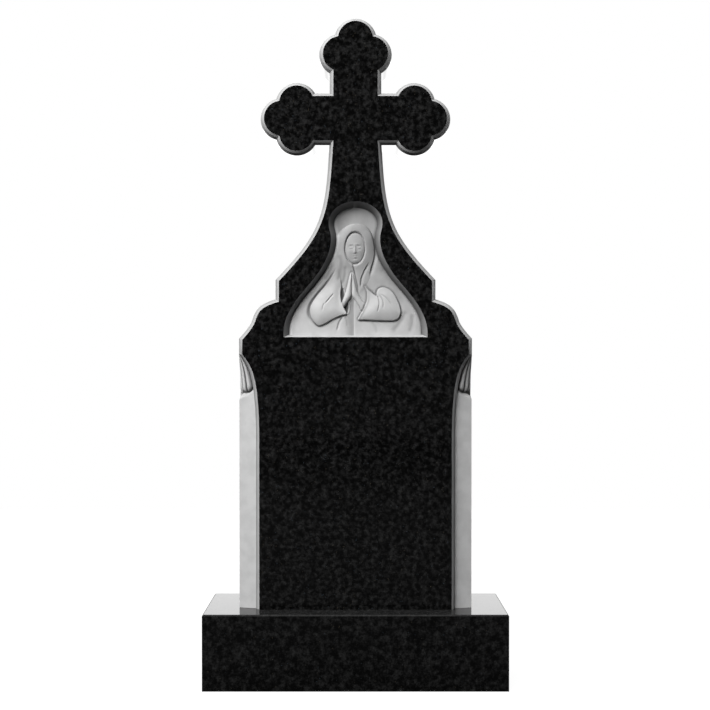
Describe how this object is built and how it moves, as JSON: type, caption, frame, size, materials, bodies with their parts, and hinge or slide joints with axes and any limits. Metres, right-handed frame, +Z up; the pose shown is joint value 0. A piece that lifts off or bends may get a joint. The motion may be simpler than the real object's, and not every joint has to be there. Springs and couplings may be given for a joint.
{
  "type": "headstone",
  "caption": "Polished black granite headstone: a slab with a cross head, a carved niche with a veiled praying figure and corner posts, on a plain base block.",
  "frame": {"origin": "middle of the base block's underside", "axes": "+Z up, front faces -Y, +X to the right as the front is seen"},
  "size_m": [0.6, 0.2, 1.3286],
  "materials": {
    "polished_granite": "polished",
    "ground_granite": "ground"
  },
  "bodies": {
    "root": {"base": "polished_granite", "stela": "polished_granite"}
  },
  "joints": []
}
